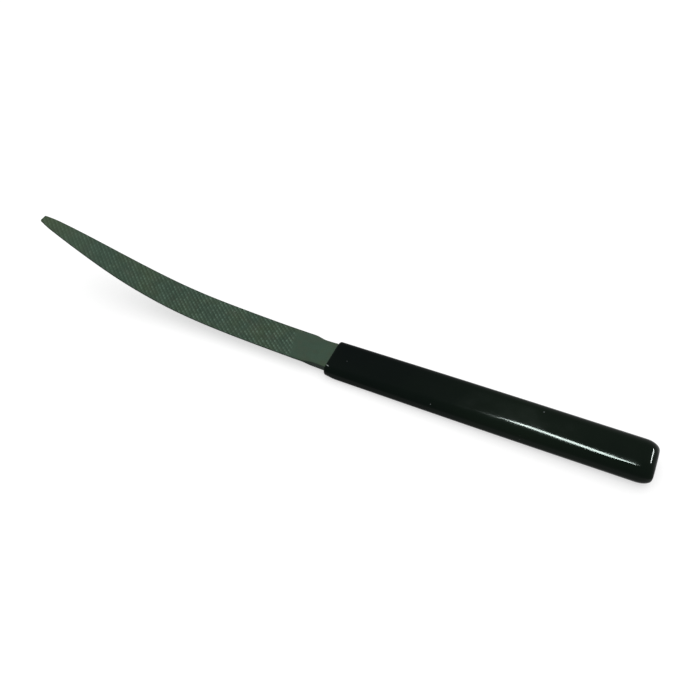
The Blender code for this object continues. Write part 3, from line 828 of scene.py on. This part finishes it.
def glossy_vinyl():
    """Black vinyl with a slight orange peel, scuffed clouds and a few dust flecks, with a painted sheen
    that grows towards its butt and a painted highlight on its lip.
    """
    finish, tree, shader = new_finish("glossy_black_vinyl", roughness=0.08, metallic=0.0, specular=0.04)
    shader.inputs["Specular Tint"].default_value = (*VINYL_GLOSS_TINT, 1.0)
    places = object_places(tree)
    # Painted sheen, stronger towards the butt, mixed in with the scuffed clouds.
    sheen = remap(tree, lengthwise(tree, places), SHEEN_SPAN, (0.0, SHEEN_AMOUNT))
    scuff_and_sheen = calculate(tree, "ADD", blotches(tree, places, VINYL_CLOUD), sheen)
    colour = blend_colours(tree, scuff_and_sheen, VINYL_COLOUR, VINYL_SCUFF_AND_SHEEN)
    colour = blend_colours(tree, flecks(tree, fleck_group, places, *VINYL_FLECKS), colour, SPECK_COLOUR)
    # The painted highlight on the lip, and two specks.
    for place, turn, reach, paint in HANDLE_MARKS:
        colour = blend_colours(tree, mark(tree, places, place, turn, reach), colour, paint)
    tree.links.new(colour, shader.inputs["Base Color"])
    tree.links.new(blotches(tree, places, VINYL_ROUGHNESS), shader.inputs["Roughness"])
    peel = noise(tree, places, PEEL_SIZE, PEEL_DETAIL)
    tree.links.new(bump(tree, peel, PEEL_HEIGHT, PEEL_STRENGTH), shader.inputs["Normal"])
    return finish


vinyl_handle = add_object("black_vinyl_handle", loft("black_vinyl_handle", handle_sections()))
cutter = add_object("socket_cutter", loft("socket_cutter", socket_sections()))
socket = vinyl_handle.modifiers.new("tang_socket", "BOOLEAN")
socket.operation = "DIFFERENCE"
socket.solver = "EXACT"
socket.object = cutter
apply_modifier(vinyl_handle, socket)
bpy.data.meshes.remove(cutter.data)
vinyl_handle.data.materials.clear()
vinyl_handle.data.materials.append(glossy_vinyl())
vinyl_handle.data.shade_smooth()
vinyl_handle.data.set_sharp_from_angle(angle=VINYL_SHARP_ANGLE)
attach(vinyl_handle, "root")
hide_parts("vinyl_handle")


# Studio: a white floor and sky, and a very broad softbox that shows in no reflection. A strip lamp and
# a small lamp show in the handle's gloss only.
FLOOR_SIZE = 1.6
FLOOR_GAP = 0.3 * MM
FLOOR_COLOUR = (0.50, 0.50, 0.50)
FLOOR_GLOW = 0.58
SKY_STRENGTH = 0.35
SOFTBOX_RADIANCE = 1.05
SOFTBOX_LINE = ((0.0, -1.5, 1.2), (0.0, 1.5, 1.2))
SOFTBOX_WIDTH = 3.0
STRIP_RADIANCE = 310.0
STRIP_LINE = ((0.110, -0.055, 0.75), (-0.045, 0.535, 0.75))
STRIP_WIDTH = 0.040
END_LAMP_RADIANCE = 260.0
END_LAMP_LINE = ((0.536, 0.556, 0.396), (0.630, 0.467, 0.396))
END_LAMP_WIDTH = 0.040


def surroundings_seen(tree):
    """1 for a ray that shows the surroundings, straight, in gloss or through glass, and 0 otherwise."""
    ray = tree.nodes.new("ShaderNodeLightPath").outputs
    straight_or_gloss = calculate(tree, "ADD", ray["Is Camera Ray"], ray["Is Glossy Ray"])
    return calculate(tree, "ADD", straight_or_gloss, ray["Is Transmission Ray"])


def white_floor():
    """Plain matt white floor, which glows so as to be white to the camera and in reflections."""
    bm = bmesh.new()
    bmesh.ops.create_grid(bm, x_segments=1, y_segments=1, size=FLOOR_SIZE / 2)
    floor = add_object("studio_floor", mesh_from(bm, "studio_floor"))
    floor.location.z = cad_box[0].z - FLOOR_GAP
    paint, tree, shader = new_finish("white_paint", roughness=0.9, metallic=0.0, specular=0.0)
    shader.inputs["Base Color"].default_value = (*FLOOR_COLOUR, 1.0)
    shader.inputs["Emission Color"].default_value = (1.0, 1.0, 1.0, 1.0)
    glow = calculate(tree, "MULTIPLY", surroundings_seen(tree), FLOOR_GLOW)
    tree.links.new(glow, shader.inputs["Emission Strength"])
    floor.data.materials.append(paint)
    return floor


def flat_lamp(name, line, width, radiance):
    """Flat lamp of this radiance along a line between two places, facing the object."""
    low, high = map(Vector, line)
    length = (high - low).length
    light = bpy.data.lights.new(name, "AREA")
    light.shape = "RECTANGLE"
    light.size = width
    light.size_y = length
    light.energy = radiance * math.pi * width * length
    stand = add_object(name, light)
    middle = (low + high) / 2
    up = (high - low).normalized()
    across = up.cross(middle).normalized()
    facing = Matrix((across, up, across.cross(up))).transposed()
    stand.matrix_world = Matrix.Translation(middle) @ facing.to_4x4()
    return stand


def white_sky():
    """Sky that is white to the camera and in reflections, and lights the object more softly."""
    sky = bpy.data.worlds.new("white_sky")
    sky.use_nodes = True
    tree = sky.node_tree
    seen = surroundings_seen(tree)
    strength = calculate(tree, "MULTIPLY_ADD", seen, 1.0 - SKY_STRENGTH, SKY_STRENGTH)
    background = tree.nodes["Background"]
    background.inputs["Color"].default_value = (1.0, 1.0, 1.0, 1.0)
    tree.links.new(strength, background.inputs["Strength"])
    return sky


white_floor()
bpy.context.scene.world = white_sky()
softbox = flat_lamp("softbox", SOFTBOX_LINE, SOFTBOX_WIDTH, SOFTBOX_RADIANCE)
softbox.visible_glossy = False
handle_only = bpy.data.collections.new("lit_by_handle_lamps")
handle_only.objects.link(vinyl_handle)
for handle_lamp in (
    flat_lamp("strip_lamp", STRIP_LINE, STRIP_WIDTH, STRIP_RADIANCE),
    flat_lamp("end_lamp", END_LAMP_LINE, END_LAMP_WIDTH, END_LAMP_RADIANCE),
):
    handle_lamp.visible_diffuse = False
    handle_lamp.light_linking.receiver_collection = handle_only


# Camera: it stands where the photograph was taken from, above the bench and in front of the butt, and
# leans by a fraction of a degree.
CAMERA_PLACE = (82.73 * MM, -167.69 * MM, 210.68 * MM)
CAMERA_DOWN = math.radians(47.71)
CAMERA_TURN = math.radians(-23.749)
CAMERA_ROLL = math.radians(0.6)
FOCAL_PIXELS = 850.0
FRAME_PIXELS = 700.0
NEAREST_SEEN = 10 * MM


def photo_camera():
    """Camera at the photograph's angle, from its height, turn and roll."""
    lens = bpy.data.cameras.new("photo_camera")
    lens.lens = FOCAL_PIXELS / FRAME_PIXELS * lens.sensor_width
    lens.clip_start = NEAREST_SEEN
    view = add_object("photo_camera", lens)
    looking = Vector((math.sin(CAMERA_TURN) * math.cos(CAMERA_DOWN),
                      math.cos(CAMERA_TURN) * math.cos(CAMERA_DOWN), -math.sin(CAMERA_DOWN)))
    right = Vector((math.cos(CAMERA_TURN), -math.sin(CAMERA_TURN), 0.0))
    up = right.cross(looking)
    rolled_right = right * math.cos(CAMERA_ROLL) + up * math.sin(CAMERA_ROLL)
    rolled_up = up * math.cos(CAMERA_ROLL) - right * math.sin(CAMERA_ROLL)
    turn = Matrix((rolled_right, rolled_up, -looking)).transposed()
    view.matrix_world = Matrix.Translation(CAMERA_PLACE) @ turn.to_4x4()
    return view


bpy.context.scene.camera = photo_camera()
bpy.context.scene.view_settings.view_transform = "Standard"
